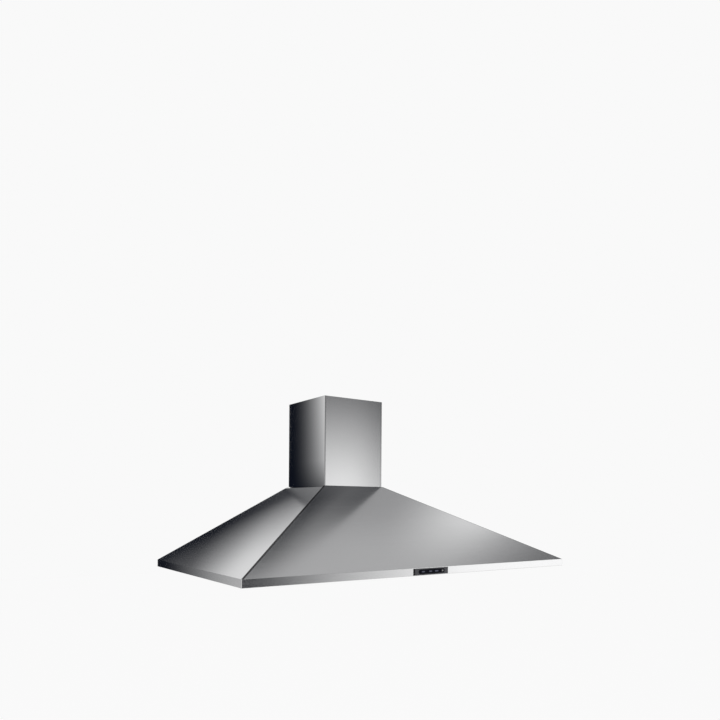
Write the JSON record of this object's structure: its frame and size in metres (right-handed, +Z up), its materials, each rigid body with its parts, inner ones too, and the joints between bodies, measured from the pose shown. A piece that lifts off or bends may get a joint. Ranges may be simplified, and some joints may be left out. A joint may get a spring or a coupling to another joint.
{
  "type": "chimney range hood",
  "caption": "Wall-mounted pyramid chimney range hood with push-button controls, mesh grease filters, lamps and an inner blower.",
  "frame": {"origin": "on the wall plane, on the hood's centre line, at the height of the rim's lower edge", "axes": "+X along the hood's width, to the right seen from the room; +Y into the wall, so the front faces -Y; +Z up"},
  "size_m": [0.9, 0.5003, 0.431],
  "materials": {
    "brushed_steel": "satin brushed stainless sheet",
    "galvanised_steel": "dull zinc-coated sheet",
    "zinc_screw": "bright zinc",
    "shaft_steel": "ground steel",
    "spring_steel": "spring steel",
    "filter_aluminium": "satin aluminium",
    "filter_mesh": "expanded aluminium mesh",
    "black_plastic": "fine matt texture",
    "latch_plastic": "matt",
    "grey_plastic": "satin grey moulding",
    "button_plastic": "satin dark blue-grey",
    "light_button_plastic": "light grey",
    "circuit_board": "green solder mask",
    "lamp_metal": "satin nickel",
    "lamp_glass": "frosted glass",
    "bulb_ceramic": "white glazed",
    "damper_plastic": "matt",
    "impeller_steel": "zinc-coated steel",
    "motor_paint": "black enamel",
    "rubber": "matt",
    "capacitor_can": "white moulded can"
  },
  "bodies": {
    "hood": {"blower_screws": "zinc_screw", "blower_scroll_left": "grey_plastic", "blower_scroll_right": "grey_plastic", "cable_gland": "black_plastic", "canopy_back_panel": "galvanised_steel", "canopy_front_panel": "brushed_steel", "canopy_left_panel": "brushed_steel", "canopy_right_panel": "brushed_steel", "canopy_top_plate": "galvanised_steel", "chimney_lower_cover": "brushed_steel", "chimney_screws": "zinc_screw", "control_board": "circuit_board", "control_fascia": "grey_plastic", "control_housing": "black_plastic", "damper_pin": "shaft_steel", "electronics_box": "grey_plastic", "electronics_lid": "grey_plastic", "hanging_plates": "galvanised_steel", "lamp_bulb_left": "bulb_ceramic", "lamp_bulb_right": "bulb_ceramic", "lamp_housing_left": "lamp_metal", "lamp_housing_right": "lamp_metal", "lamp_lens_left": "lamp_glass", "lamp_lens_right": "lamp_glass", "motor_body": "motor_paint", "motor_grommets": "rubber", "motor_screws": "zinc_screw", "motor_spider": "galvanised_steel", "outlet_collar": "black_plastic", "power_board": "circuit_board", "rim_band": "brushed_steel", "run_capacitor": "capacitor_can", "underside_plate": "brushed_steel"},
    "chimney_upper": {"chimney_upper_cover": "brushed_steel", "chimney_wall_bracket": "galvanised_steel"},
    "impeller": {"impeller_blades": "impeller_steel", "impeller_ring_left": "impeller_steel", "impeller_ring_right": "impeller_steel", "impeller_disc": "impeller_steel", "impeller_nut": "zinc_screw", "motor_shaft": "shaft_steel"},
    "damper_front": {"damper_flap_front": "damper_plastic"},
    "damper_rear": {"damper_flap_rear": "damper_plastic"},
    "speed_low": {"button_speed_low": "button_plastic"},
    "speed_medium": {"button_speed_medium": "button_plastic"},
    "speed_high": {"button_speed_high": "button_plastic"},
    "light": {"button_light": "light_button_plastic"},
    "filter_left": {"filter_frame_left": "filter_aluminium", "filter_mesh_left": "filter_mesh", "latch_spring_left": "spring_steel"},
    "latch_left": {"filter_latch_left": "latch_plastic"},
    "filter_centre": {"filter_frame_centre": "filter_aluminium", "filter_mesh_centre": "filter_mesh", "latch_spring_centre": "spring_steel"},
    "latch_centre": {"filter_latch_centre": "latch_plastic"},
    "filter_right": {"filter_frame_right": "filter_aluminium", "filter_mesh_right": "filter_mesh", "latch_spring_right": "spring_steel"},
    "latch_right": {"filter_latch_right": "latch_plastic"}
  },
  "joints": [
    {"name": "chimney_extend", "type": "slide", "parent": "hood", "child": "chimney_upper", "axis": [0, 0, 1], "range_m": [0, 0.16]},
    {"name": "impeller_spin", "type": "hinge", "parent": "hood", "child": "impeller", "pos_m": [0, -0.143, 0.1096], "axis": [1, 0, 0], "continuous": true},
    {"name": "damper_front_open", "type": "hinge", "parent": "hood", "child": "damper_front", "pos_m": [0, -0.095, 0.263], "axis": [-1, 0, 0], "range_deg": [0, 75]},
    {"name": "damper_rear_open", "type": "hinge", "parent": "hood", "child": "damper_rear", "pos_m": [0, -0.095, 0.263], "axis": [1, 0, 0], "range_deg": [0, 75]},
    {"name": "speed_low_press", "type": "slide", "parent": "hood", "child": "speed_low", "axis": [0, 1, 0], "range_m": [0, 0.001], "stiffness_N_per_m": 500},
    {"name": "speed_medium_press", "type": "slide", "parent": "hood", "child": "speed_medium", "axis": [0, 1, 0], "range_m": [0, 0.001], "stiffness_N_per_m": 500},
    {"name": "speed_high_press", "type": "slide", "parent": "hood", "child": "speed_high", "axis": [0, 1, 0], "range_m": [0, 0.001], "stiffness_N_per_m": 500},
    {"name": "light_press", "type": "slide", "parent": "hood", "child": "light", "axis": [0, 1, 0], "range_m": [0, 0.001], "stiffness_N_per_m": 500},
    {"name": "filter_left_swing", "type": "hinge", "parent": "hood", "child": "filter_left", "pos_m": [-0.28267, -0.084, 0.0023], "axis": [1, 0, 0], "range_deg": [0, 60]},
    {"name": "latch_left_pull", "type": "slide", "parent": "filter_left", "child": "latch_left", "axis": [0, 1, 0], "range_m": [0, 0.0065], "stiffness_N_per_m": 300, "deforming": ["latch_spring_left"]},
    {"name": "filter_centre_swing", "type": "hinge", "parent": "hood", "child": "filter_centre", "pos_m": [0, -0.084, 0.0023], "axis": [1, 0, 0], "range_deg": [0, 60]},
    {"name": "latch_centre_pull", "type": "slide", "parent": "filter_centre", "child": "latch_centre", "axis": [0, 1, 0], "range_m": [0, 0.0065], "stiffness_N_per_m": 300, "deforming": ["latch_spring_centre"]},
    {"name": "filter_right_swing", "type": "hinge", "parent": "hood", "child": "filter_right", "pos_m": [0.28267, -0.084, 0.0023], "axis": [1, 0, 0], "range_deg": [0, 60]},
    {"name": "latch_right_pull", "type": "slide", "parent": "filter_right", "child": "latch_right", "axis": [0, 1, 0], "range_m": [0, 0.0065], "stiffness_N_per_m": 300, "deforming": ["latch_spring_right"]}
  ]
}
